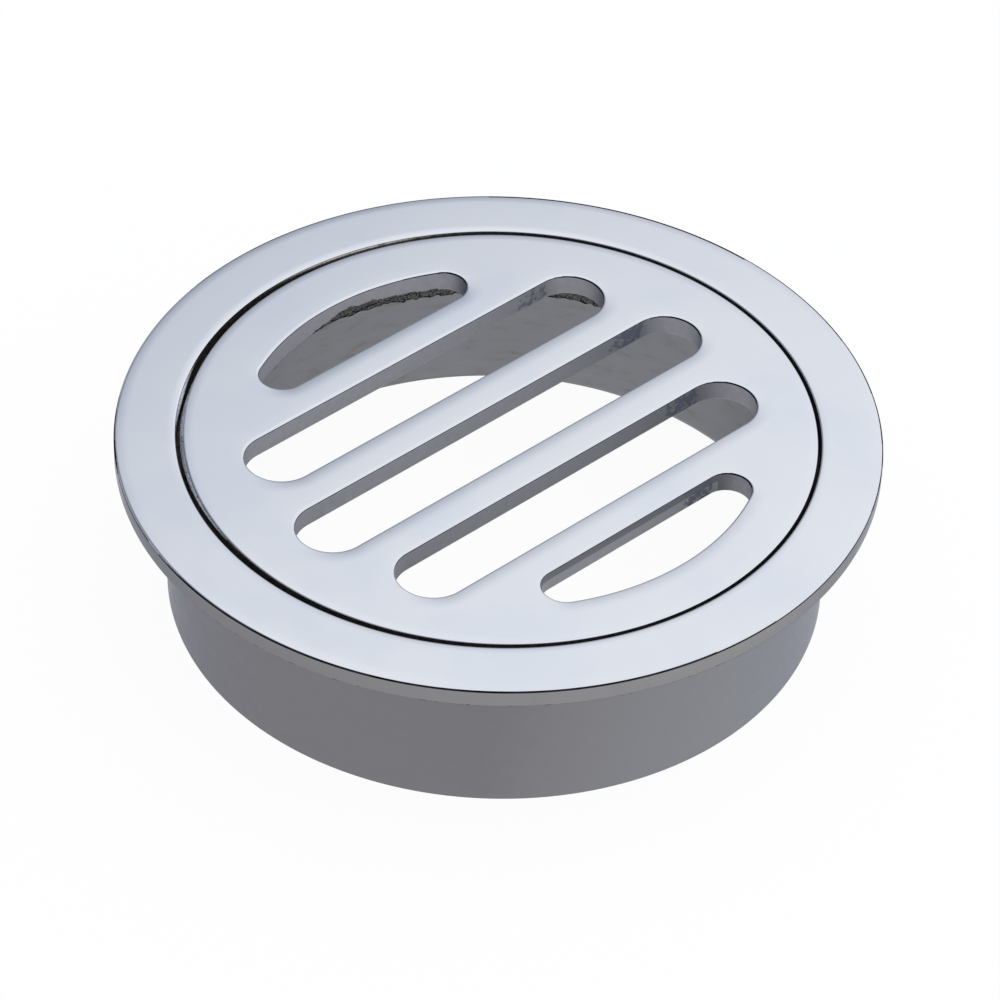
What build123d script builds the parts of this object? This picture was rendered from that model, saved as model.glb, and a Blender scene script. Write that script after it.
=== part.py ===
from build123d import *
import os
from math import sqrt

# Round floor drain: a slotted grate that lies loose in a flanged frame with a short pipe spigot.
# Millimetres. +Z is up, Z = 0 is the spigot's lower rim, and the ring axis is the Z axis.
# The slots run along X.

# Frame, outside
flange_diameter = 115.0
flange_thickness = 3.1
spigot_diameter = 100.0
spigot_wall = 2.9
overall_height = 28.6

# Recess turned into the spigot's upper end, and the loose fit of the grate in it
recess_wall = 1.7
grate_thickness = 3.5
grate_side_clearance = 0.8
grate_drift_share = 0.375       # how much of the side clearance the grate has slid off centre
grate_drift_angle = -50.0       # direction of that slide, in degrees from +X

# Seat under the grate's rim, and the band of bore below it that was left as cast
seat_width = 2.0
cast_band_height = 6.8

# Slots: three straight ones, then a D-shaped one on each side that follows the rim
straight_slots = 3
slot_width = 11.0
bar_width = 5.9
outer_bar_width = 5.6
rim_width = 8.4                 # from the grate's edge to the circle that every slot reaches
segment_corner_share = 0.32     # corner radius of a D-shaped slot, as a share of its depth
slot_field_offset = -0.35       # the slots are cast and the rim is turned, this far off centre along Y

# Edges: the lathe breaks the turned ones, and polishing rounds the slots' upper ones
frame_break = 0.3
grate_rim_break = 0.25
slot_edge_round = 0.3

# Sizes that follow
flange_radius = flange_diameter / 2
spigot_radius = spigot_diameter / 2
outlet_radius = spigot_radius - spigot_wall
recess_radius = spigot_radius - recess_wall
grate_radius = recess_radius - grate_side_clearance
seat_radius = grate_radius - seat_width
flange_underside = overall_height - flange_thickness
seat_height = overall_height - grate_thickness
cast_band_end = seat_height - cast_band_height
slot_field_radius = grate_radius - rim_width
slot_end_radius = slot_width / 2
slot_pitch = slot_width + bar_width
last_slot_side = (straight_slots - 1) / 2 * slot_pitch + slot_end_radius
segment_chord = last_slot_side + outer_bar_width
segment_corner_radius = segment_corner_share * (slot_field_radius - segment_chord)


def turned_frame():
    """Flange, spigot and stepped bore as one section, turned round the ring axis."""
    recess_mouth = (recess_radius, overall_height)
    flange_top = (flange_radius, overall_height)
    flange_lower = (flange_radius, flange_underside)
    flange_root = (spigot_radius, flange_underside)
    spigot_end = (spigot_radius, 0)
    outlet_mouth = (outlet_radius, 0)
    cast_step_outer = (outlet_radius, cast_band_end)
    cast_step_inner = (seat_radius, cast_band_end)
    seat_edge = (seat_radius, seat_height)
    recess_corner = (recess_radius, seat_height)
    outline = Polyline(
        recess_mouth, flange_top, flange_lower, flange_root, spigot_end, outlet_mouth,
        cast_step_outer, cast_step_inner, seat_edge, recess_corner, close=True,
    )
    section = make_face(outline)
    broken = [recess_mouth, flange_top, flange_lower, spigot_end, outlet_mouth, seat_edge]
    section = chamfer([corner_at(section, place) for place in broken], frame_break)
    return revolve(Plane.XZ * section, Axis.Z)


def corner_at(section, place):
    """The corner of a flat section that lies at this place."""
    return section.vertices().sort_by_distance((*place, 0))[0]


def straight_slot(offset):
    """A slot with full round ends, as long as the slot field is at this offset from its middle."""
    end_centre = sqrt((slot_field_radius - slot_end_radius) ** 2 - offset**2)
    return Pos(0, offset) * SlotOverall(2 * (end_centre + slot_end_radius), slot_width)


def segment_slot():
    """The D-shaped slot: what a chord cuts off the slot field, with its two corners rounded."""
    beyond_chord = Pos(0, segment_chord) * Rectangle(
        2 * slot_field_radius, slot_field_radius, align=(Align.CENTER, Align.MIN)
    )
    segment = Circle(slot_field_radius) & beyond_chord
    return fillet(segment.vertices(), segment_corner_radius)


def slotted_grate():
    """A flat disc with its slots cut through, and the upper edges polished round."""
    slots = [straight_slot((row - (straight_slots - 1) / 2) * slot_pitch) for row in range(straight_slots)]
    slots += [Rot(0, 0, turn) * segment_slot() for turn in (0, 180)]
    plan = Circle(grate_radius)
    for slot in slots:
        plan -= Pos(0, slot_field_offset) * slot
    disc = extrude(plan, grate_thickness)
    top = disc.faces().sort_by(Axis.Z)[-1]
    disc = chamfer(top.outer_wire().edges(), grate_rim_break)
    top = disc.faces().sort_by(Axis.Z)[-1]
    slot_edges = [edge for wire in top.inner_wires() for edge in wire.edges()]
    return fillet(slot_edges, slot_edge_round)


def seated_grate():
    """The grate on its seat, flush with the flange, slid a little within its side clearance."""
    drift = Vector(grate_drift_share * grate_side_clearance, 0).rotate(Axis.Z, grate_drift_angle)
    return Pos(drift.X, drift.Y, seat_height) * slotted_grate()


os.makedirs("parts", exist_ok=True)
export_step(turned_frame(), "parts/frame.step")
export_step(seated_grate(), "parts/grate.step")
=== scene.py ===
"""A round floor drain of chrome-plated brass: a slotted grate lying loose in a flanged frame.

Metres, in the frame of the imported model: +Z is up, Z = 0 is the spigot's lower rim, the ring axis is
the Z axis and the slots run along X.
"""
import logging
import math
from collections.abc import Sequence
from dataclasses import dataclass, field, replace
from enum import IntEnum

import bmesh
import bpy
import numpy as np
from mathutils import Matrix, Vector


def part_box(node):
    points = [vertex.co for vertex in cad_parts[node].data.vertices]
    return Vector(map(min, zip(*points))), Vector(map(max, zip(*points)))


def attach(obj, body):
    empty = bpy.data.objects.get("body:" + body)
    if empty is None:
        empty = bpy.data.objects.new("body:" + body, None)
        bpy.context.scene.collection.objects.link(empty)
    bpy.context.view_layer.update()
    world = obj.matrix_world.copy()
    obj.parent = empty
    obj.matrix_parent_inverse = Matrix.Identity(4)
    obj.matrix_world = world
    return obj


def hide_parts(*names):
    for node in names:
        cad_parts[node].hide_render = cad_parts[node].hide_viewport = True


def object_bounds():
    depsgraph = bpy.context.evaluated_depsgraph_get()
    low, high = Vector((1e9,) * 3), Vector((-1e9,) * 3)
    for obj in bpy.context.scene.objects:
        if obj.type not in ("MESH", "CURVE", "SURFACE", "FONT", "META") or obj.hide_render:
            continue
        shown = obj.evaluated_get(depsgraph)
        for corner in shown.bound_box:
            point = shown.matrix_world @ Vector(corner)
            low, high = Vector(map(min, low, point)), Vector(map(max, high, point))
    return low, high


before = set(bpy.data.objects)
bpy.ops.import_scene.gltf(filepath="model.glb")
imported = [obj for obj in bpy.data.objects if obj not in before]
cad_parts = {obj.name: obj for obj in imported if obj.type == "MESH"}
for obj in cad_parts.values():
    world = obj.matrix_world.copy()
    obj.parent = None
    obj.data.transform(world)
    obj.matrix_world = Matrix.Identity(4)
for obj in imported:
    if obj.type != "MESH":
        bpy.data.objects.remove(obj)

LOG = logging.getLogger("floor_drain")
MM = 0.001
BODY = "root"
CAD_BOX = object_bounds()
# Distance in millimetres within which two points of an outline count as one
TOUCHING = 1e-6
# Share of its full width from which flash shows its painted highlight
FLASH_EDGE = 0.25
# The range that a noise texture mostly keeps to
NOISE_SPAN = (0.3, 0.7)


class Zone(IntEnum):
    """Where a face lies, which decides its finish. The number is the face's material slot."""

    POLISHED = 0
    EDGE = 1
    RIM = 2
    SIDE = 3
    SLOT = 4
    BORE = 5
    CAST = 6
    SHADED_LIP = 7
    NICKED = 8
    RECESS = 9
    DRAFT = 10
    FLASH = 11


def srgb(code: str) -> tuple[float, float, float, float]:
    """Turn an sRGB hex colour into the linear colour that a shader socket takes.

    Args:
        code: Six hex digits, such as "c8ccd6".

    Returns:
        Linear red, green, blue and an alpha of one.
    """
    channels = [int(code[start:start + 2], 16) / 255 for start in (0, 2, 4)]
    linear = [c / 12.92 if c <= 0.04045 else ((c + 0.055) / 1.055) ** 2.4 for c in channels]
    return (*linear, 1.0)


def add_node(
    tree: bpy.types.NodeTree, kind: str, links: dict | None = None, **settings: object,
) -> bpy.types.Node:
    """Add one node, set its properties and sockets, and link its inputs.

    Args:
        tree: The node tree that gets the node.
        kind: The node's type name without its "ShaderNode" prefix.
        links: Input name or index to the output socket that feeds it, or to a constant value.
        settings: Properties of the node itself.

    Returns:
        The new node.
    """
    node = tree.nodes.new("ShaderNode" + kind)
    for name, value in settings.items():
        setattr(node, name, value)
    for name, source in (links or {}).items():
        if isinstance(source, bpy.types.NodeSocket):
            tree.links.new(source, node.inputs[name])
        else:
            node.inputs[name].default_value = source
    return node


@dataclass(frozen=True)
class ChromeFinish:
    """Chrome plate over brass, as one way of working the surface leaves it.

    Chrome reflects a cool grey and keeps the relief of the brass under it, so the finishes differ in
    how dark, how blurred and how uneven their reflections are. Lengths are in millimetres.

    Attributes:
        name: The material's name.
        colour: Reflection colour of the clean plate, or of its lower part, as sRGB hex.
        grazing: How bright the plate stays when seen edge-on, as sRGB hex.
        marked: Colour of the marks, as sRGB hex: thin or stained plate on most finishes, painted shade or
            painted dark reflection on the spigot and the slots' walls.
        mark_size: Size of the marks.
        mark_from: Noise level where the marks begin.
        mark_to: Noise level where they are at their strongest.
        roughness: Roughness of the clean plate.
        roughness_spread: How far the roughness wanders up and down.
        grain: Size of the relief.
        relief: Height of the relief.
        upper: Reflection colour of the clean plate high up, as sRGB hex, or nothing where it is the same; on
            the rim and the spigot the blend is painted light and shade.
        heights: Heights between which the colour changes.
        lean: How much a millimetre along X, Y and Z counts as height.
        mark_stretch: How many times longer than wide the marks are, upwards.
        mark_mask: Name of the mesh attribute that says where the marks may show, or nothing.
    """

    name: str
    colour: str
    grazing: str
    marked: str
    mark_size: float
    mark_from: float
    mark_to: float
    roughness: float
    roughness_spread: float
    grain: float
    relief: float
    upper: str = ""
    heights: tuple[float, float] = (0.0, 28.6)
    lean: tuple[float, float, float] = (0.0, 0.0, 1.0)
    mark_stretch: float = 1.0
    mark_mask: str = ""

    def clean_colour(self, tree: bpy.types.NodeTree, place: bpy.types.NodeSocket) -> bpy.types.NodeSocket:
        """Blend the clean plate's two colours by the height, which is the place times the lean. On the rim
        and the spigot the blend is painted light and shade: one side lighter, the other darker.

        Args:
            tree: The material's node tree.
            place: Output socket with the Object coordinates.

        Returns:
            Output socket with the colour.
        """
        low, high = self.heights
        height = add_node(tree, "VectorMath", {0: place, 1: self.lean}, operation="DOT_PRODUCT")
        share = add_node(tree, "MapRange", {
            "Value": height.outputs["Value"], "From Min": low * MM, "From Max": high * MM,
        }).outputs["Result"]
        return add_node(tree, "Mix", {
            "Factor": share, "A": srgb(self.colour), "B": srgb(self.upper or self.colour),
        }, data_type="RGBA").outputs["Result"]

    def mark_amount(self, tree: bpy.types.NodeTree, marks: bpy.types.NodeSocket) -> bpy.types.NodeSocket:
        """Turn the noise into marks, and keep them to where the mesh allows them.

        Args:
            tree: The material's node tree.
            marks: Output socket with the noise.

        Returns:
            Output socket with the amount of marking, from zero to one.
        """
        if self.mark_mask:
            mask = add_node(tree, "Attribute", attribute_name=self.mark_mask).outputs["Fac"]
            marks = add_node(tree, "Math", {0: marks, 1: mask}, operation="MULTIPLY").outputs[0]
        return add_node(tree, "MapRange", {
            "Value": marks, "From Min": self.mark_from, "From Max": self.mark_to,
        }, interpolation_type="SMOOTHSTEP").outputs["Result"]

    def material(self) -> bpy.types.Material:
        """Build the finish as a node material on Object coordinates.

        Returns:
            The new material.
        """
        material = bpy.data.materials.new(self.name)
        material.use_nodes = True
        tree = material.node_tree
        tree.nodes.clear()
        place = add_node(tree, "TexCoord").outputs["Object"]
        shrink = (1.0, 1.0, 1.0 / self.mark_stretch)
        stretched = add_node(tree, "Mapping", {"Vector": place, "Scale": shrink}).outputs[0]
        marks = add_node(tree, "TexNoise", {
            "Vector": stretched, "Scale": 1 / (self.mark_size * MM), "Detail": 5.0, "Roughness": 0.55,
        }).outputs["Fac"]
        colour = add_node(tree, "Mix", {
            "Factor": self.mark_amount(tree, marks),
            "A": self.clean_colour(tree, place),
            "B": srgb(self.marked),
        }, data_type="RGBA")
        wander = add_node(tree, "MapRange", {
            "Value": marks, "From Min": NOISE_SPAN[0], "From Max": NOISE_SPAN[1],
            "To Min": self.roughness - self.roughness_spread,
            "To Max": self.roughness + self.roughness_spread,
        }).outputs["Result"]
        ripples = add_node(tree, "TexNoise", {
            "Vector": place, "Scale": 1 / (self.grain * MM), "Detail": 4.0,
        }).outputs["Fac"]
        bump = add_node(tree, "Bump", {"Height": ripples, "Distance": self.relief * MM, "Strength": 1.0})
        surface = add_node(tree, "BsdfPrincipled", {
            "Base Color": colour.outputs["Result"], "Roughness": wander, "Metallic": 1.0,
            "Specular Tint": srgb(self.grazing), "Normal": bump.outputs["Normal"],
        })
        add_node(tree, "OutputMaterial", {"Surface": surface.outputs[0]})
        return material


# Buffed to a mirror before plating: clear reflections, the faintest smears
POLISHED = ChromeFinish(
    name="chrome_on_polished_brass", colour="c3c6c9", grazing="ffffff",
    marked="bfc3c8", mark_size=22.0, mark_from=0.42, mark_to=0.66,
    roughness=0.075, roughness_spread=0.02, grain=9.0, relief=0.004,
)
# The lower part of an edge's round, painted dull and nearly black: a painted dark reflection along the edges
EDGE = ChromeFinish(
    name="chrome_edge_painted_dark_reflection", colour="2e2e33", grazing="707070",
    marked="141316", mark_size=5.0, mark_from=0.4, mark_to=0.6,
    roughness=0.2, roughness_spread=0.04, grain=1.2, relief=0.003,
)
# The flange's upright edge, turned fine: satin chrome whose grey is a painted reflection, painted a little
# lighter round one side
RIM = ChromeFinish(
    name="chrome_on_turned_rim", colour="969597", upper="828184", grazing="ced0d8",
    # The blend over heights and lean paints one side lighter
    heights=(-26.0, 16.0), lean=(-0.36, 0.34, 0.0),
    marked="868588", mark_size=7.0, mark_stretch=6.0, mark_from=0.46, mark_to=0.8,
    roughness=0.24, roughness_spread=0.03, grain=2.6, relief=0.003,
)
# The spigot's outside, turned and hardly buffed: satin chrome whose darker grey is a painted reflection,
# painted lighter and bluer round one side and darker higher up, with painted shade in the corner under the
# flange
SIDE = ChromeFinish(
    name="chrome_on_turned_brass", colour="909297", upper="7d7c80", grazing="dcdfe8",
    # The blend over heights and lean paints one side lighter and the upper part darker
    heights=(-22.0, 2.0), lean=(-0.36, 0.34, 0.1),
    marked="636060", mark_size=2.4, mark_stretch=0.6, mark_from=0.3, mark_to=0.75, mark_mask="painted_shade",
    roughness=0.36, roughness_spread=0.03, grain=1.4, relief=0.006,
)
# The slots' walls, filed and lightly buffed: a bluish satin, with painted dark reflections as jagged patches
# at the far ends
SLOT = ChromeFinish(
    name="chrome_on_filed_brass", colour="a9aab0", grazing="b0b0b4",
    marked="888d9d", mark_size=1.1, mark_from=0.42, mark_to=0.47, mark_mask="painted_shade",
    roughness=0.62, roughness_spread=0.05, grain=1.5, relief=0.004,
)
# Bored out and thinly plated where the current hardly reaches, with faint brown water stains
BORE = ChromeFinish(
    name="chrome_on_bored_brass", colour="7f8085", grazing="909090",
    marked="777470", mark_size=4.5, mark_stretch=0.3, mark_from=0.52, mark_to=0.8,
    roughness=0.32, roughness_spread=0.05, grain=1.6, relief=0.006,
)
# Left as the sand mould gave it: gritty and pitted, brownish grey with dark hollows
CAST = ChromeFinish(
    name="chrome_on_cast_brass", colour="646364", grazing="808080",
    marked="242323", mark_size=0.24, mark_from=0.5, mark_to=0.58,
    roughness=0.45, roughness_spread=0.1, grain=0.4, relief=0.1,
)
# A ragged lower lip: nearly black, a painted shadow under the lip
SHADED_LIP = ChromeFinish(
    name="ragged_lip_painted_shadow", colour="232124", grazing="606060",
    marked="6a6664", mark_size=0.7, mark_from=0.5, mark_to=0.6,
    roughness=0.5, roughness_spread=0.1, grain=0.4, relief=0.1,
)
# The flange's lower edge: turned like the rim, with small dark nicks and burrs along it
NICKED = ChromeFinish(
    name="chrome_on_nicked_edge", colour="828083", grazing="c8cad2",
    marked="45403d", mark_size=1.3, mark_stretch=0.6, mark_from=0.54, mark_to=0.64,
    roughness=0.3, roughness_spread=0.03, grain=1.0, relief=0.02,
)
# The recess and the grate's rim, turned and never buffed: duller, and darker as painted shade of the narrow
# gap, with olive where the plate is thin
RECESS = ChromeFinish(
    name="chrome_in_the_gap", colour="a9a8a3", grazing="949494",
    marked="7b776a", mark_size=1.2, mark_from=0.45, mark_to=0.65,
    roughness=0.37, roughness_spread=0.05, grain=0.8, relief=0.01,
)
# The near D-shaped slot's straight wall: lighter in its lower half and darker in its upper one, with the
# slots' painted dark reflections at its far end
DRAFT = replace(
    SLOT, name="slot_wall_darker_above", colour="dadbe0", upper="adaeb3",
    marked="a0a3ad", heights=(26.9, 27.2),
)
# Flash left in the gap, on the grate's rim and in the recess: cast skin whose near-white plate is a painted
# highlight, with dark pits
FLASH = ChromeFinish(
    name="cast_flash_painted_highlight", colour="e9eef6", grazing="d0d0d4",
    marked="4a505a", mark_size=0.3, mark_from=0.57, mark_to=0.65,
    roughness=0.3, roughness_spread=0.08, grain=0.5, relief=0.02,
)
FINISHES = {
    Zone.POLISHED: POLISHED, Zone.EDGE: EDGE, Zone.RIM: RIM, Zone.SIDE: SIDE,
    Zone.SLOT: SLOT, Zone.BORE: BORE, Zone.CAST: CAST, Zone.SHADED_LIP: SHADED_LIP, Zone.NICKED: NICKED,
    Zone.RECESS: RECESS, Zone.DRAFT: DRAFT, Zone.FLASH: FLASH,
}


@dataclass(frozen=True)
class PolishedEdge:
    """How buffing wears a flat face down towards its edge, and rounds the edge itself.

    Attributes:
        reach: How far from the edge the wear begins, in millimetres.
        slope: Slope of the face where the round begins, in radians.
        round: Radius of the edge itself, in millimetres.
        steps: Steps along the worn part, and again along the round.
    """

    reach: float
    slope: float
    round: float
    steps: int = 10

    def curve(self) -> tuple[np.ndarray, np.ndarray, np.ndarray]:
        """Work out the section from the flat face to the foot of the round.

        The worn part drops with the square of the way gone from the flat to the round, so it leaves
        the flat without a kink. The round is an arc that takes over its slope and ends upright.

        Returns:
            Distances from the wall, heights above the flat face, and how much of the drop is wear.
        """
        inner = self.round * (1 - math.sin(self.slope))
        span = self.reach - inner
        drop = self.slope * span / 2
        gone = np.linspace(0, 1, self.steps + 1)
        worn_distance = self.reach - span * gone
        worn_height = -drop * gone**2
        angle = np.linspace(self.slope, math.pi / 2, self.steps + 1)[1:]
        round_distance = self.round * (1 - np.sin(angle))
        round_height = -drop - self.round * (math.cos(self.slope) - np.cos(angle))
        wear = np.concatenate([-worn_height, np.full(self.steps, drop)])
        distance = np.concatenate([worn_distance, round_distance])
        height = np.concatenate([worn_height, round_height])
        return distance, height, wear


def quarter(start_angle: float, radius: float, centre: tuple[float, float], steps: int = 3) -> np.ndarray:
    """Points of a quarter turn in the section plane.

    Args:
        start_angle: Angle of the first point, in degrees.
        radius: Radius in millimetres, negative to go clockwise.
        centre: Radius and height of the arc's centre, in millimetres.
        steps: Number of steps along the arc.

    Returns:
        Rows of radius and height.
    """
    turn = np.radians(start_angle + math.copysign(90, radius) * np.linspace(0, 1, steps + 1))
    return np.stack([centre[0] + abs(radius) * np.cos(turn), centre[1] + abs(radius) * np.sin(turn)], axis=1)


def upright(radius: float, heights: Sequence[float] | np.ndarray) -> np.ndarray:
    """Points of the section plane that lie straight above each other, as rows of radius and height."""
    return np.stack([np.full(len(heights), radius), heights], axis=1)


@dataclass(frozen=True)
class Grain:
    """Smooth random relief of one grain size.

    Attributes:
        height: Standard deviation of the relief, in millimetres.
        size: Size of a grain, in millimetres.
        seed: Seed of the random numbers.
    """

    height: float
    size: float
    seed: int

    def relief(self, rows: int, columns: int, pitch: tuple[float, float]) -> np.ndarray:
        """Work out the relief on a grid that wraps round in both directions.

        White noise is blurred by a Gaussian of the grain's size, by multiplying its spectrum with
        the Gaussian's, and then scaled to the relief's height.

        Args:
            rows: Rows of the grid.
            columns: Columns of the grid.
            pitch: Distance between rows and between columns, in millimetres.

        Returns:
            The relief, with a mean of zero.
        """
        noise = np.random.default_rng(self.seed).standard_normal((rows, columns))
        across = np.fft.fftfreq(rows, pitch[0])[:, None]
        along = np.fft.rfftfreq(columns, pitch[1])[None, :]
        blur = np.exp(-2 * (math.pi * self.size / 2) ** 2 * (across**2 + along**2))
        relief = np.fft.irfft2(np.fft.rfft2(noise) * blur, s=(rows, columns))
        relief -= relief.mean()
        return self.height * (relief / relief.std())


@dataclass(frozen=True)
class Stretch:
    """A stretch round the ring that is strongest in its middle and fades out to both sides.

    Attributes:
        side: Direction of its middle, in degrees.
        spread: Way round from the middle at which it has faded to 1 / e, in degrees.
        amount: What it comes to in the middle, in millimetres.
    """

    side: float
    spread: float
    amount: float = 1.0

    def share(self, angle: np.ndarray) -> np.ndarray:
        """Bell curve over the direction: e to the minus square of the way round from the middle.

        Args:
            angle: Directions, in radians.

        Returns:
            The share of the amount at each direction, from zero to one.
        """
        off = (np.degrees(angle) - self.side + 180) % 360 - 180
        return np.exp(-(off / self.spread) ** 2)


def finish_piece(
    name: str, points: np.ndarray, faces: np.ndarray, zones: np.ndarray, painted_shade: np.ndarray,
) -> bpy.types.Object:
    """Turn arrays into a smooth-shaded object that carries one material for each zone.

    Args:
        name: The object's name.
        points: Vertex positions in millimetres.
        faces: Rows of vertex numbers, four to a face.
        zones: The zone of each face.
        painted_shade: For each vertex how much painted shade it carries, from zero to one.

    Returns:
        The new object, linked into the scene.
    """
    mesh = bpy.data.meshes.new(name)
    mesh.from_pydata(points * MM, [], faces)
    for zone in Zone:
        mesh.materials.append(MATERIALS[zone])
    mesh.polygons.foreach_set("material_index", zones.astype(np.int32))
    mesh.polygons.foreach_set("use_smooth", np.ones(len(faces), bool))
    mesh.attributes.new("painted_shade", "FLOAT", "POINT").data.foreach_set("value", painted_shade.astype(np.float32))
    mesh.update()
    piece = bpy.data.objects.new(name, mesh)
    bpy.context.scene.collection.objects.link(piece)
    return piece


def wrapped_faces(rows: int, columns: int, close_rows: bool) -> np.ndarray:
    """Quads of a grid whose columns wrap round.

    Args:
        rows: Rows of the grid, each a closed ring of vertices.
        columns: Vertices in a row.
        close_rows: Whether the last row joins the first.

    Returns:
        Rows of four vertex numbers, all the faces of the first strip first.
    """
    last = rows if close_rows else rows - 1
    row, column = np.meshgrid(np.arange(last), np.arange(columns), indexing="ij")
    below, right = (row + 1) % rows, (column + 1) % columns
    corners = [(row, column), (row, right), (below, right), (below, column)]
    return np.stack([corner[0] * columns + corner[1] for corner in corners], axis=-1).reshape(-1, 4)


@dataclass
class Frame:
    """The flanged ring with its recess, seat, band of cast bore and pipe spigot, as one turned piece.

    Lengths are in millimetres.

    Attributes:
        flange_radius: Outer radius of the flange.
        flange_thickness: Thickness of the flange.
        spigot_radius: Outer radius of the spigot.
        outlet_radius: Radius of the bore under the cast band.
        recess_radius: Radius of the recess that holds the grate.
        recess_depth: Depth of the recess.
        seat_radius: Mean radius of the cast band, and the inner edge of the seat.
        band_height: Height of the cast band.
        height: Height of the whole frame.
        edge: The flange's outer edge as polished.
        mouth: The recess's upper edge as polished.
        break_radius: Round of the edges that nobody polishes.
        corner_gap: How far the rows next to an inner corner stay off it.
        segments: Vertices round the ring.
        band_rows: Rows of vertices in the cast band.
        lip_rows: How many of these rows belong to its ragged lower lip, which carries painted shadow.
        spigot_rows: Rows of vertices on the spigot's outside.
        bore_rows: Rows of vertices in the bore under the cast band.
        bore_stop: How far under the cast band the bore's last row lies.
        clear_round_shares: Directions in degrees, and the share of the flange's round that stays plain chrome
            there; below it the round carries a painted dark reflection.
        shaded_corner: Where the corner under the flange carries painted shade.
        shade_depth: How far down the painted shade runs.
        flash: Where the recess has kept some flash, and how far that stands out from the wall.
        flash_depths: Depths between which it stands out.
        ledge: Where the recess, turned a little off its mouth's axis, has left a ledge, and how wide.
        band_grains: Relief of the cast band.
        lip_grains: Jags of its lower lip.
        jag_fade: Power by which the jags fade out up the band.
        lip: Where the cast band ends higher, and by how much.
    """

    flange_radius: float = CAD_BOX[1].x / MM
    flange_thickness: float = 3.1
    spigot_radius: float = 50.0
    outlet_radius: float = 47.1
    recess_radius: float = 48.3
    recess_depth: float = 3.5
    seat_radius: float = 45.5
    band_height: float = 6.8
    height: float = CAD_BOX[1].z / MM
    edge: PolishedEdge = PolishedEdge(reach=2.0, slope=0.06, round=0.4, steps=9)
    mouth: PolishedEdge = PolishedEdge(reach=1.4, slope=0.06, round=0.25, steps=6)
    break_radius: float = 0.3
    corner_gap: float = 0.1
    segments: int = 1100
    band_rows: int = 26
    lip_rows: int = 1
    spigot_rows: int = 5
    bore_rows: int = 4
    bore_stop: float = 1.2
    clear_round_shares: tuple[tuple[float, float], ...] = (
        (17, -0.15), (46, -0.12), (90, 0.0), (100, 0.05), (106, 0.5), (130, 0.5), (137, 0.25), (146, 0.2),
        (150, 0.6), (168, 0.68), (175, 0.4), (226, 0.35), (258, 0.42), (270, 0.55), (296, 0.65),
        (317, 0.2), (347, -0.05),
    )
    shaded_corner: Stretch = Stretch(side=213.0, spread=29.0)
    shade_depth: float = 6.0
    flash: Stretch = Stretch(side=130.0, spread=8.0, amount=0.35)
    flash_depths: tuple[float, float] = (0.36, 1.0)
    ledge: Stretch = Stretch(side=76.0, spread=18.0, amount=0.13)
    band_grains: tuple[Grain, ...] = (Grain(0.06, size=2.4, seed=11), Grain(0.05, size=0.55, seed=12))
    lip_grains: tuple[Grain, ...] = (Grain(0.04, size=3.0, seed=13), Grain(0.11, size=0.5, seed=14))
    jag_fade: float = 1.5
    lip: Stretch = Stretch(side=11.0, spread=17.0, amount=0.7)

    def section(self) -> tuple[np.ndarray, list[Zone], slice]:
        """Lay out the closed section, from the recess's mouth outwards, down and back up the bore.

        Returns:
            Rows of radius and height, the zone of the strip after each point, and the cast band's rows.
        """
        edge_distance, edge_height, _ = self.edge.curve()
        mouth_distance, mouth_height, _ = self.mouth.curve()
        underside = self.height - self.flange_thickness
        seat = self.height - self.recess_depth
        band_end = seat - self.band_height
        small, gap = self.break_radius, self.corner_gap
        top_out = np.stack([self.flange_radius - edge_distance, self.height + edge_height], axis=1)
        top_in = np.stack([self.recess_radius + mouth_distance, self.height + mouth_height], axis=1)[::-1]
        lower_edge = quarter(0, -small, (self.flange_radius - small, underside + small))
        root = quarter(90, small, (self.spigot_radius + small, underside - small))
        rim_out = quarter(0, -small, (self.spigot_radius - small, small))
        rim_in = quarter(-90, -small, (self.outlet_radius + small, small))
        # Closest together under the flange, where the smears are
        down = np.linspace(0, 1, self.spigot_rows) ** 2
        spigot = upright(self.spigot_radius, underside - 2 * small - (underside - 4 * small) * down)
        band = upright(self.seat_radius, np.linspace(band_end, seat - small, self.band_rows))
        bore = upright(self.outlet_radius, np.linspace(2 * small, band_end - self.bore_stop, self.bore_rows))
        step = np.array([[self.outlet_radius, band_end - gap], [self.outlet_radius - gap, band_end]])
        seat_points = np.array([[self.seat_radius + small, seat], [self.recess_radius - gap, seat]])
        flash_from, flash_to = self.flash_depths
        recess = upright(self.recess_radius, [seat + gap, self.height - flash_to, self.height - flash_from])
        stretches = [
            # The mouth's outer strip carries the painted dark reflection
            (top_in[:1], Zone.EDGE),
            (top_in[1:], Zone.POLISHED),
            (top_out[:-1], Zone.POLISHED),
            (top_out[-1:], Zone.RIM),
            (lower_edge, Zone.NICKED),
            (root, Zone.SIDE),
            (spigot, Zone.SIDE),
            (rim_out, Zone.SIDE),
            (rim_in, Zone.SIDE),
            (bore, Zone.BORE),
            # The step and the band's lowest rows carry painted shadow
            (step, Zone.SHADED_LIP),
            (band[:self.lip_rows], Zone.SHADED_LIP),
            (band[self.lip_rows:], Zone.CAST),
            (seat_points, Zone.RECESS),
            (recess, Zone.RECESS),
        ]
        before_band = stretches[:-4]
        start = sum(len(points) for points, _ in before_band)
        zones = [zone for points, zone in stretches for _ in points]
        points = np.concatenate([points for points, _ in stretches])
        return points, zones, slice(start, start + self.band_rows)

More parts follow.
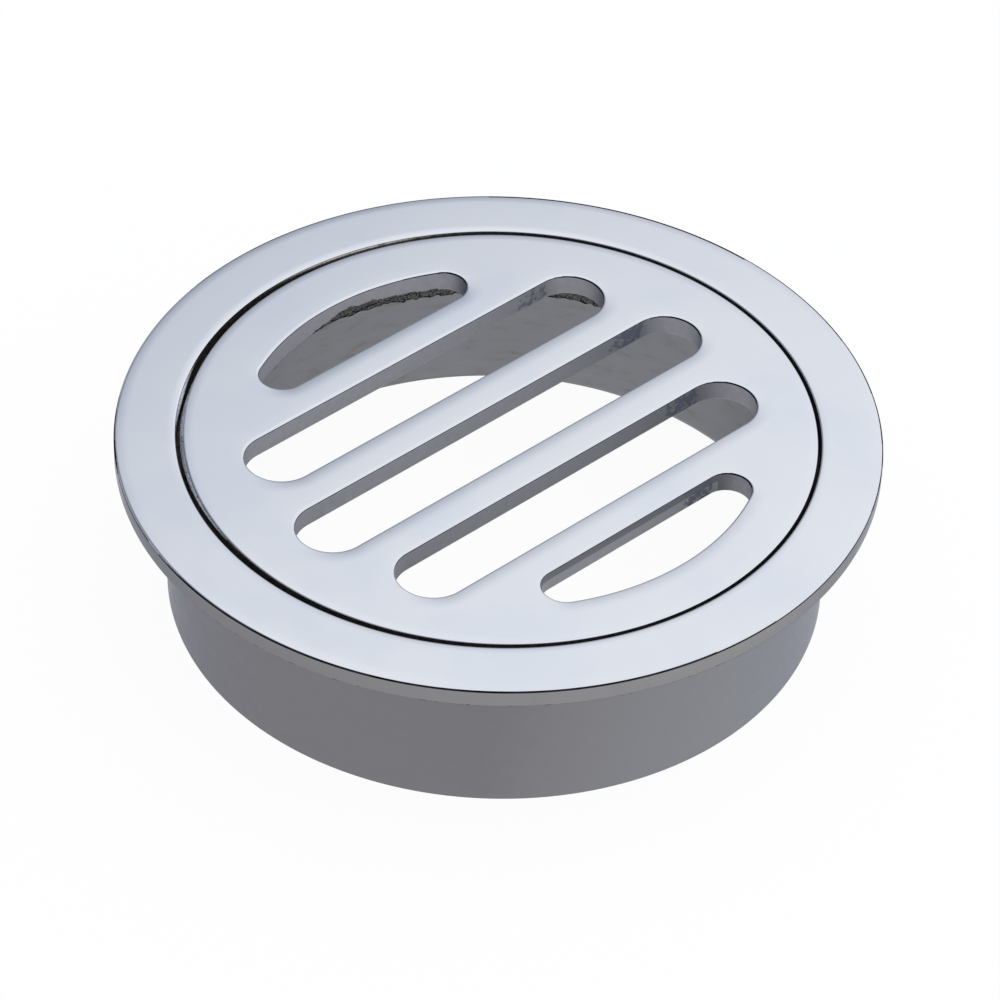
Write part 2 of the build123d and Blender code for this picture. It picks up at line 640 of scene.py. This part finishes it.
    def surface(self, section: np.ndarray, band: slice) -> np.ndarray:
        """Turn the section round the ring axis, and roughen the cast band and its lower edge.

        A vertex lies at its section's radius times the cosine and sine of its angle. In the band,
        coarse and fine grain move the wall in and out, and a jagged line that fades out up the
        band moves its rows up and down. The line rises by a bell curve on one side, and two others
        move the recess's two upper rows inwards, where the flash is and where the ledge is.

        Args:
            section: Rows of radius and height.
            band: The rows that belong to the cast band.

        Returns:
            Vertex positions, row after row, in millimetres.
        """
        rows, columns = len(section), self.segments
        angle = np.linspace(0, 2 * math.pi, columns, endpoint=False)
        radius = np.repeat(section[:, :1], columns, axis=1)
        height = np.repeat(section[:, 1:], columns, axis=1)
        pitch = (self.band_height / self.band_rows, 2 * math.pi * self.seat_radius / columns)
        radius[band] += sum(grain.relief(self.band_rows, columns, pitch) for grain in self.band_grains)
        jag = sum(grain.relief(1, columns, pitch) for grain in self.lip_grains)
        jag += self.lip.amount * self.lip.share(angle)
        near_end = np.linspace(1, 0, self.band_rows)[:, None] ** self.jag_fade
        height[band] += near_end * jag
        # The step's two rows under the band go with its lip
        height[band.start - 2:band.start] += jag
        for swelling in (self.flash, self.ledge):
            radius[-2:] -= swelling.amount * swelling.share(angle)
        points = np.stack([radius * np.cos(angle), radius * np.sin(angle), height], axis=-1)
        return points.reshape(-1, 3)

    def paint_dark_edge_reflection(self, zones: np.ndarray) -> np.ndarray:
        """Paint a dark reflection on the lower part of the flange's upper round, and a highlight on the
        recess's flash.

        The plain share of the round runs in straight lines between the stated directions. Below
        zero, the painted dark reflection reaches up onto the worn face. The flash lies on the last strip.

        Args:
            zones: The zone of each face, strip by strip.

        Returns:
            The zones, changed where the round carries the painted dark reflection and where the flash carries
            its painted highlight.
        """
        angle = np.linspace(0, 360, self.segments, endpoint=False)
        directions, shares = zip(*self.clear_round_shares)
        share = np.interp(angle, directions, shares, period=360)
        first = 2 * self.mouth.steps + 1
        strip = np.arange(len(zones))[:, None] - first - self.edge.steps
        # Below the plain share the round carries the painted dark reflection
        zones[(strip >= share * self.edge.steps) & (strip < self.edge.steps)] = Zone.EDGE
        # The flash in the recess gets the painted highlight
        zones[-1, self.flash.share(np.radians(angle)) > FLASH_EDGE] = Zone.FLASH
        return zones

    def shade_under_flange(self, points: np.ndarray) -> np.ndarray:
        """Say where the spigot carries painted shade: in the corner under the flange, on one side.

        A bell curve over the direction is multiplied with one over the way down from the flange.

        Args:
            points: Vertex positions in millimetres.

        Returns:
            The amount at each vertex, from zero to one.
        """
        below = self.height - self.flange_thickness - points[:, 2]
        around = self.shaded_corner.share(np.arctan2(points[:, 1], points[:, 0]))
        return around * np.exp(-(below / self.shade_depth) ** 2)

    def build(self) -> bpy.types.Object:
        """Make the frame in place of its plain node.

        Returns:
            The frame as one closed ring.
        """
        section, zones, band = self.section()
        points = self.surface(section, band)
        faces = wrapped_faces(len(section), self.segments, close_rows=True)[:, ::-1]
        face_zones = self.paint_dark_edge_reflection(np.repeat(np.array(zones)[:, None], self.segments, axis=1)).ravel()
        # The corner under the flange gets painted shade through the mark mask
        piece = finish_piece("drain_frame", points, faces, face_zones, self.shade_under_flange(points))
        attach(piece, BODY)
        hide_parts("frame")
        LOG.info("frame: %d faces", len(faces))
        return piece


@dataclass(frozen=True)
class Arc:
    """One arc of a slot's outline.

    Attributes:
        x: Centre along the slots, in millimetres.
        y: Centre across the slots, in millimetres.
        radius: Radius in millimetres.
        start: Start angle in radians.
        end: End angle in radians, larger than the start.
    """

    x: float
    y: float
    radius: float
    start: float
    end: float

    def points(self, step: float, fewest: int = 9) -> tuple[np.ndarray, np.ndarray]:
        """Spread points along the arc.

        Args:
            step: The largest distance between two points, in millimetres.
            fewest: How many points even a short arc gets.

        Returns:
            Positions, and the unit vectors that point away from the centre.
        """
        count = max(fewest, math.ceil(self.radius * (self.end - self.start) / step) + 1)
        angle = np.linspace(self.start, self.end, count)
        outward = np.stack([np.cos(angle), np.sin(angle)], axis=1)
        return np.array([self.x, self.y]) + self.radius * outward, outward


def outline_of(arcs: Sequence[Arc], step: float) -> tuple[np.ndarray, np.ndarray]:
    """Join arcs to one closed outline, with straight runs between arcs that don't meet.

    A straight run is cut into equal parts of at most three steps.

    Args:
        arcs: The arcs, anticlockwise.
        step: The largest distance between two points of an arc, in millimetres.

    Returns:
        Positions and outward unit vectors, with no point twice.
    """
    pairs = [arc.points(step) for arc in arcs]
    points = np.concatenate([positions for positions, _ in pairs])
    outward = np.concatenate([vectors for _, vectors in pairs])
    apart = np.linalg.norm(np.roll(points, -1, axis=0) - points, axis=1) > TOUCHING
    points, outward = points[apart], outward[apart]
    run = np.roll(points, -1, axis=0) - points
    parts = np.ceil(np.linalg.norm(run, axis=1) / (3 * step)).astype(int)
    corner = np.repeat(np.arange(len(points)), parts)
    gone = np.concatenate([np.arange(count) / count for count in parts])
    return points[corner] + gone[:, None] * run[corner], outward[corner]


@dataclass
class Grate:
    """The flat disc with three straight slots and two D-shaped ones, lying flush on its seat.

    Lengths are in millimetres.

    Attributes:
        radius: Outer radius of the disc.
        thickness: Thickness of the disc.
        slot_width: Width of a straight slot.
        bar_width: Metal between two straight slots.
        outer_bar_width: Metal between the last straight slot and the D-shaped one.
        rim_width: Metal between the disc's edge and the circle that the slots reach.
        corner_share: Corner radius of a D-shaped slot, as a share of its depth.
        field_offset: How far off the disc's centre the slots lie, along Y.
        slot_edge: The slots' upper edges as polished.
        rim_edge: The disc's upper edge as polished.
        lower_break: Round of the lower edges.
        centre: Where the loose disc lies.
        top: Height of the disc's upper face.
        step: Largest distance between two points along an outline.
        clear_round_share: Share of an upper edge's round that stays plain chrome; below it the round carries
            a painted dark reflection.
        clear_round_loss: How much of that share is missing at the slots' +X ends.
        dark_patch_length: Length of a straight wall's far end that carries painted dark reflections.
        dark_patch_share: How strong they are on the +Y straight slot's wall.
        wall_rows: Rows of vertices down a slot's wall.
        wall_start: How far under the edge's round they begin.
        trailing_wear: Wear of an edge on the slots' other sides, as a share of that on the -Y side.
        cast_skin: Places along X on the +Y D-shaped slot's wall, and how far down its cast skin begins there.
        cast_jag: Jags of the cast skin's upper limit and of its lip.
        cast_lip: Height of its ragged lower lip, which carries painted shadow.
        flash: Where the rim has kept some flash, and how far that stands out from it.
        flash_section: Depths, and the share of its width that the flash has there.
    """

    radius: float = 47.5
    thickness: float = 3.5
    slot_width: float = 11.0
    bar_width: float = 5.9
    outer_bar_width: float = 5.6
    rim_width: float = 8.4
    corner_share: float = 0.32
    field_offset: float = -0.35
    slot_edge: PolishedEdge = PolishedEdge(reach=2.7, slope=0.065, round=0.3)
    rim_edge: PolishedEdge = PolishedEdge(reach=1.6, slope=0.06, round=0.25)
    lower_break: float = 0.15
    centre: Vector = field(default_factory=lambda: (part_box("grate")[0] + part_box("grate")[1]) / 2 / MM)
    top: float = CAD_BOX[1].z / MM
    step: float = 0.45
    clear_round_share: float = 0.75
    clear_round_loss: float = 0.45
    dark_patch_length: float = 12.0
    dark_patch_share: float = 0.88
    wall_rows: int = 16
    wall_start: float = 0.08
    trailing_wear: float = 0.15
    cast_skin: tuple[tuple[float, float], ...] = ((-5.0, 3.4), (3.5, 1.95), (10.0, 2.7), (20.0, 3.3))
    cast_jag: Grain = Grain(0.15, size=0.9, seed=21)
    cast_lip: float = 0.3
    flash: Stretch = Stretch(side=148.0, spread=19.0, amount=0.5)
    flash_section: tuple[tuple[float, float], ...] = ((0.3, 0.0), (0.36, 1.0), (0.6, 1.0), (1.1, 0.0))

    def straight_slot(self, offset: float) -> list[Arc]:
        """The two round ends of a straight slot, which reach the slot field's circle.

        Args:
            offset: How far the slot lies off the field's middle, in millimetres.

        Returns:
            The arcs, anticlockwise.
        """
        end_radius = self.slot_width / 2
        reach = math.sqrt((self.radius - self.rim_width - end_radius) ** 2 - offset**2)
        right = Arc(reach, offset, end_radius, -math.pi / 2, math.pi / 2)
        left = Arc(-reach, offset, end_radius, math.pi / 2, 3 * math.pi / 2)
        return [right, left]

    def segment_slot(self, turned: bool) -> list[Arc]:
        """The three arcs of a D-shaped slot: two corners and the stretch of the slot field's circle.

        A corner's circle touches the chord and the field's circle, so its centre lies a corner
        radius above the chord and that much inside the field.

        Args:
            turned: Whether the slot is the one on the far side, turned by half a circle.

        Returns:
            The arcs, anticlockwise.
        """
        field_radius = self.radius - self.rim_width
        chord = 1.5 * self.slot_width + self.bar_width + self.outer_bar_width
        corner = self.corner_share * (field_radius - chord)
        y = chord + corner
        x = math.sqrt((field_radius - corner) ** 2 - y**2)
        meet = math.atan2(y, x)
        turn = math.pi if turned else 0.0
        side = -1.0 if turned else 1.0
        return [
            Arc(side * x, side * y, corner, turn - math.pi / 2, turn + meet),
            Arc(0.0, 0.0, field_radius, turn + meet, turn + math.pi - meet),
            Arc(-side * x, side * y, corner, turn + math.pi - meet, turn + 3 * math.pi / 2),
        ]

    def outlines(self) -> list[tuple[np.ndarray, np.ndarray, PolishedEdge]]:
        """Collect the closed outlines of the rim and of each slot.

        Returns:
            For each outline its points, the unit vectors into the metal, and its upper edge.
        """
        slots = [self.straight_slot(row * (self.slot_width + self.bar_width)) for row in (-1, 0, 1)]
        slots += [self.segment_slot(turned) for turned in (False, True)]
        found = []
        for arcs in slots:
            points, outward = outline_of(arcs, self.step)
            found.append((points + np.array([0.0, self.field_offset]), outward, self.slot_edge))
        points, outward = outline_of([Arc(0.0, 0.0, self.radius, 0.0, 2 * math.pi)], self.step)
        found.append((points, -outward, self.rim_edge))
        return found

    def wall_section(self, edge: PolishedEdge) -> tuple[np.ndarray, np.ndarray, np.ndarray]:
        """Lay out the section of a wall, from the flat face over the edge and down to the underside.

        Args:
            edge: The upper edge as polished.

        Returns:
            Distances into the metal, heights above the upper face, and the wear in these heights.
        """
        distance, height, wear = edge.curve()
        foot = height[-1]
        lower = quarter(180, self.lower_break, (self.lower_break, -self.thickness + self.lower_break))
        wall = np.linspace(foot - self.wall_start, -self.thickness + 2 * self.lower_break, self.wall_rows)
        tail = np.array([3 * self.lower_break])
        distances = np.concatenate([distance, np.zeros(len(wall)), lower[:, 0], tail])
        heights = np.concatenate([height, wall, lower[:, 1], np.full(1, -self.thickness)])
        worn = np.concatenate([wear, np.zeros(len(heights) - len(wear))])
        return distances, heights, worn

    def wall_zones(
        self, edge: PolishedEdge, outline: np.ndarray, inward: np.ndarray, strips: int,
    ) -> np.ndarray:
        """Say which finish each face of a wall has.

        The round stays plain chrome down to a share of it, which is smaller at the slots' +X ends, and
        carries a painted dark reflection below that. Below it comes the wall, of which the -Y D-shaped slot
        has the straight stretch darker in its upper part.

        Args:
            edge: The upper edge as polished.
            outline: Points of one outline.
            inward: Unit vectors into the metal.
            strips: Number of strips from the flat face down to the underside.

        Returns:
            The zone of each face, strip by strip.
        """
        is_slot = edge is self.slot_edge
        share = self.clear_round_share - self.clear_round_loss * is_slot * np.clip(inward[:, 0], 0, 1)
        straight_slots_end = -1.5 * (self.slot_width + self.bar_width)
        near = is_slot & (outline[:, 1].mean() < straight_slots_end)
        towards_y = inward[:, 1] > 0.9
        # The grate's rim wall gets the gap finish, whose darker grey is painted shade
        plain = Zone.SLOT if is_slot else Zone.RECESS
        wall = np.where(near & towards_y, Zone.DRAFT, plain)
        strip = np.arange(strips)[:, None]
        # Under the plain share the round carries the painted dark reflection
        dark_painted_strips = np.where(strip < 2 * edge.steps, Zone.EDGE, wall[None])
        return np.where(strip < edge.steps * (1 + share)[None], Zone.POLISHED, dark_painted_strips)

    def dark_patch_amount(self, outline: np.ndarray, inward: np.ndarray) -> np.ndarray:
        """Say where a slot's wall carries painted dark reflections: at the +X end of the straight run on the
        +Y side.

        The amount runs in straight lines: up over the first two thirds of the patch length, on
        to the run's end, and down again within a fifth of that length beyond it.

        Args:
            outline: Points of one outline.
            inward: Unit vectors into the metal.

        Returns:
            The amount at each point, from zero to one.
        """
        turning = np.linalg.norm(np.roll(inward, -1, axis=0) - inward, axis=1)
        straight = (turning < 1e-3) & (inward[:, 1] > 0.99)
        if not straight.any():
            return np.zeros(len(outline))
        beyond = (outline[:, 0] - outline[straight, 0].max()) / self.dark_patch_length
        amount = np.interp(beyond, (-1, -1 / 3, 0, 1 / 5), (0, 1, 1, 0)) * (inward[:, 1] > 0.95)
        return amount * (self.dark_patch_share if outline[:, 1].mean() > self.slot_width else 1.0)

    def keep_cast_skin(self, zones: np.ndarray, depth: np.ndarray, outline: np.ndarray) -> np.ndarray:
        """Let the +Y D-shaped slot's wall keep its cast skin low down, with a ragged lower lip of painted
        shadow.

        The skin lies on the stretch along the slot field's circle, and its upper limit runs in
        straight lines between the stated depths. A fine noise makes that limit and the lip's ragged.

        Args:
            zones: The zone of each face, strip by strip.
            depth: Depth of each strip's upper row under the face.
            outline: Points of one outline.

        Returns:
            The zones, changed where the skin is.
        """
        along, across = outline[:, 0], outline[:, 1] - self.field_offset
        off_circle = np.abs(np.hypot(along, across) - (self.radius - self.rim_width))
        places, depths = zip(*self.cast_skin)
        skin = (off_circle < 0.01) & (across > 0) & (along > places[0]) & (along < places[-1])
        ragged = self.cast_jag.relief(1, len(outline), (1.0, self.step))[0]
        limit = np.interp(along, places, depths) + ragged
        walled = zones == Zone.SLOT
        zones[walled & skin & (depth[:, None] > limit)] = Zone.CAST
        # The lowest strip gets painted shadow
        zones[walled & skin & (depth[:, None] > self.thickness - self.cast_lip + ragged)] = Zone.SHADED_LIP
        return zones

    def flash_share(self, outline: np.ndarray, depth: np.ndarray) -> np.ndarray:
        """Say how far the flash stands out from the rim: a ledge that runs out to both sides.

        A bell curve over the direction is multiplied with an outline over the depth, which starts
        under the polished edge.

        Args:
            outline: Points of the rim.
            depth: Depths under the upper face.

        Returns:
            The share of its full width, for each depth and point.
        """
        depths, shares = zip(*self.flash_section)
        around = self.flash.share(np.arctan2(outline[:, 1], outline[:, 0]))
        return np.interp(depth, depths, shares)[:, None] * around[None]

    def walls(self) -> tuple[np.ndarray, np.ndarray, np.ndarray, np.ndarray]:
        """Carry each wall's section along its outline.

        A vertex lies at its outline's point, moved into the metal by the section's distance.

        Returns:
            Points, faces and zones of all the walls together, and the amount of painted shade.
        """
        points, faces, zones, painted_shade, used = [], [], [], [], 0
        for outline, inward, edge in self.outlines():
            distance, height, worn = self.wall_section(edge)
            flash = self.flash_share(outline, -height) * (edge is self.rim_edge)
            flat = outline[None] + (distance[:, None] - self.flash.amount * flash)[..., None] * inward[None]
            spared = (1 - self.trailing_wear) * (1 - np.clip(-inward[:, 1], 0, 1))
            spared *= edge is self.slot_edge
            level = height[:, None] + worn[:, None] * spared[None]
            points.append(np.concatenate([flat, level[..., None]], axis=-1).reshape(-1, 3))
            faces.append(used + wrapped_faces(len(distance), len(outline), close_rows=False))
            face_zones = self.wall_zones(edge, outline, inward, len(distance) - 1)
            # The flash on the rim gets the painted highlight
            face_zones[flash[1:] > FLASH_EDGE] = Zone.FLASH
            zones.append(self.keep_cast_skin(face_zones, -height[:-1], outline).ravel())
            # The straight walls' far ends get painted dark reflections through the mark mask
            painted_shade.append(np.tile(self.dark_patch_amount(outline, inward), len(distance)))
            used += points[-1].shape[0]
        return tuple(np.concatenate(parts) for parts in (points, faces, zones, painted_shade))

    def close_faces(self, mesh: bpy.types.Mesh) -> None:
        """Fill the upper and the lower face between the walls' open ends, and turn all faces outwards.

        Args:
            mesh: The walls' mesh, which gets the two faces.
        """
        built = bmesh.new()
        built.from_mesh(mesh)
        open_edges = [edge for edge in built.edges if len(edge.link_faces) == 1]
        middle = (self.top - self.thickness / 2) * MM
        for upper, zone in ((True, Zone.POLISHED), (False, Zone.SLOT)):
            ring = [edge for edge in open_edges if (edge.verts[0].co.z > middle) == upper]
            filled = bmesh.ops.triangle_fill(built, use_beauty=True, edges=ring, normal=(0, 0, 1))
            for face in filled["geom"]:
                if isinstance(face, bmesh.types.BMFace):
                    face.material_index = zone
                    face.smooth = True
        bmesh.ops.recalc_face_normals(built, faces=built.faces)
        built.to_mesh(mesh)
        built.free()

    def build(self) -> bpy.types.Object:
        """Make the grate in place of its plain node.

        Returns:
            The grate as one closed piece.
        """
        points, faces, zones, painted_shade = self.walls()
        points += np.array([self.centre.x, self.centre.y, self.top])
        piece = finish_piece("drain_grate", points, faces, zones, painted_shade)
        self.close_faces(piece.data)
        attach(piece, BODY)
        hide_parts("grate")
        LOG.info("grate: %d faces", len(piece.data.polygons))
        return piece


@dataclass(frozen=True)
class Studio:
    """The floor, the dome of light and the camera. Lengths are in metres and angles in degrees.

    Attributes:
        floor_size: Side of the floor.
        floor_colour: Colour of the floor, as sRGB hex.
        backdrop_share: How much of what camera and mirror rays see of the floor is plain white.
        dim: Strength of the dome far from its bright side.
        bright: Strength of the dome at its bright side.
        dim_colour: Colour of the dome far from its bright side, as sRGB hex.
        bright_colour: Colour of the dome at its bright side, as sRGB hex.
        bright_azimuth: Angle seen from above between the bright side and the view.
        bright_tilt: How far the bright side leans from straight up.
        bright_from: Cosine of the angle from the bright side's middle at which the light begins to rise.
        bright_full: The same where it is at its brightest.
        camera_azimuth: Direction that the camera stands in.
        camera_elevation: Height of the camera above the horizon.
        camera_distance: Its distance from the flange's upper face.
        camera_tilt: Turn about the image's horizontal.
        camera_pan: Turn about the image's vertical.
        camera_roll: Turn about the line of sight.
        lens: Focal length, in millimetres on a 36 mm frame.
    """

    floor_size: float = 6.0
    floor_colour: str = "f4f4f4"
    backdrop_share: float = 0.955
    dim: float = 0.49
    bright: float = 1.43
    dim_colour: str = "e2eaff"
    bright_colour: str = "f9faff"
    bright_azimuth: float = 90.0
    bright_tilt: float = 29.0
    bright_from: float = 0.342
    bright_full: float = 0.62
    camera_azimuth: float = -43.43
    camera_elevation: float = 39.986
    camera_distance: float = 0.75105
    camera_tilt: float = -0.8125
    camera_pan: float = -0.0116
    camera_roll: float = 1.88
    lens: float = 180.8

    def floor(self) -> bpy.types.Object:
        """Lay the floor that the drain stands on.

        Returns:
            The floor, staged.
        """
        half = self.floor_size / 2
        mesh = bpy.data.meshes.new("floor")
        corners = [(-half, -half, 0), (half, -half, 0), (half, half, 0), (-half, half, 0)]
        mesh.from_pydata(corners, [], [(0, 1, 2, 3)])
        material = bpy.data.materials.new("plain_floor")
        material.use_nodes = True
        tree = material.node_tree
        tree.nodes.clear()
        ray = add_node(tree, "LightPath").outputs
        seen = ray["Is Camera Ray"]
        for kind in ("Is Glossy Ray", "Is Transmission Ray"):
            seen = add_node(tree, "Math", {0: seen, 1: ray[kind]}, operation="ADD").outputs[0]
        share = add_node(tree, "Math", {0: seen, 1: self.backdrop_share}, operation="MULTIPLY")
        lit = add_node(tree, "BsdfDiffuse", {"Color": srgb(self.floor_colour)})
        white = add_node(tree, "Emission", {"Strength": 1.0})
        mix = add_node(tree, "MixShader", {0: share.outputs[0], 1: lit.outputs[0], 2: white.outputs[0]})
        add_node(tree, "OutputMaterial", {"Surface": mix.outputs[0]})
        mesh.materials.append(material)
        floor = bpy.data.objects.new("floor", mesh)
        bpy.context.scene.collection.objects.link(floor)
        return floor

    def dome(self) -> None:
        """Light the scene by a dome that is bright on one side and falls off softly to the other."""
        world = bpy.data.worlds.new("studio_dome")
        world.use_nodes = True
        tree = world.node_tree
        tree.nodes.clear()
        azimuth = math.radians(self.camera_azimuth - self.bright_azimuth)
        tilt = math.radians(self.bright_tilt)
        towards = (-math.sin(azimuth) * math.sin(tilt), math.cos(azimuth) * math.sin(tilt), math.cos(tilt))
        direction = add_node(tree, "TexCoord").outputs["Generated"]
        facing = add_node(tree, "VectorMath", {0: direction, 1: towards}, operation="DOT_PRODUCT")
        level = add_node(tree, "MapRange", {
            "Value": facing.outputs["Value"], "From Min": self.bright_from, "From Max": self.bright_full,
        }, interpolation_type="SMOOTHSTEP").outputs["Result"]
        colour = add_node(tree, "Mix", {
            "Factor": level, "A": srgb(self.dim_colour), "B": srgb(self.bright_colour),
        }, data_type="RGBA")
        strength = add_node(tree, "MapRange", {"Value": level, "To Min": self.dim, "To Max": self.bright})
        light = add_node(tree, "Background", {
            "Color": colour.outputs["Result"], "Strength": strength.outputs["Result"],
        })
        add_node(tree, "OutputWorld", {"Surface": light.outputs[0]})
        bpy.context.scene.world = world

    def camera(self) -> bpy.types.Object:
        """Set the camera where the photograph's stood.

        Returns:
            The camera.
        """
        data = bpy.data.cameras.new("camera")
        data.lens, data.sensor_width = self.lens, 36.0
        data.clip_start, data.clip_end = 0.01, 20.0
        camera = bpy.data.objects.new("camera", data)
        azimuth, elevation = math.radians(self.camera_azimuth), math.radians(self.camera_elevation)
        back = Vector((
            math.sin(azimuth) * math.cos(elevation),
            -math.cos(azimuth) * math.cos(elevation),
            math.sin(elevation),
        ))
        target = Vector((0, 0, CAD_BOX[1].z))
        aim = (-back).to_track_quat("-Z", "Y").to_matrix()
        tilt = Matrix.Rotation(math.radians(self.camera_tilt), 3, "X")
        pan = Matrix.Rotation(math.radians(self.camera_pan), 3, "Y")
        roll = Matrix.Rotation(math.radians(self.camera_roll), 3, "Z")
        place = Matrix.Translation(target + self.camera_distance * back)
        camera.matrix_world = place @ (aim @ roll @ pan @ tilt).to_4x4()
        bpy.context.scene.collection.objects.link(camera)
        bpy.context.scene.camera = camera
        return camera

    def build(self) -> None:
        """Set up floor, light, camera and the view settings."""
        self.floor()
        self.dome()
        self.camera()
        bpy.context.scene.view_settings.view_transform = "Standard"
        LOG.info("studio: lens %.1f mm at %.3f m", self.lens, self.camera_distance)


MATERIALS = {zone: finish.material() for zone, finish in FINISHES.items()}


def main() -> None:
    """Build the drain and its studio."""
    logging.basicConfig(level=logging.INFO, format="%(name)s %(message)s")
    Frame().build()
    Grate().build()
    Studio().build()


if __name__ == "__main__":
    main()
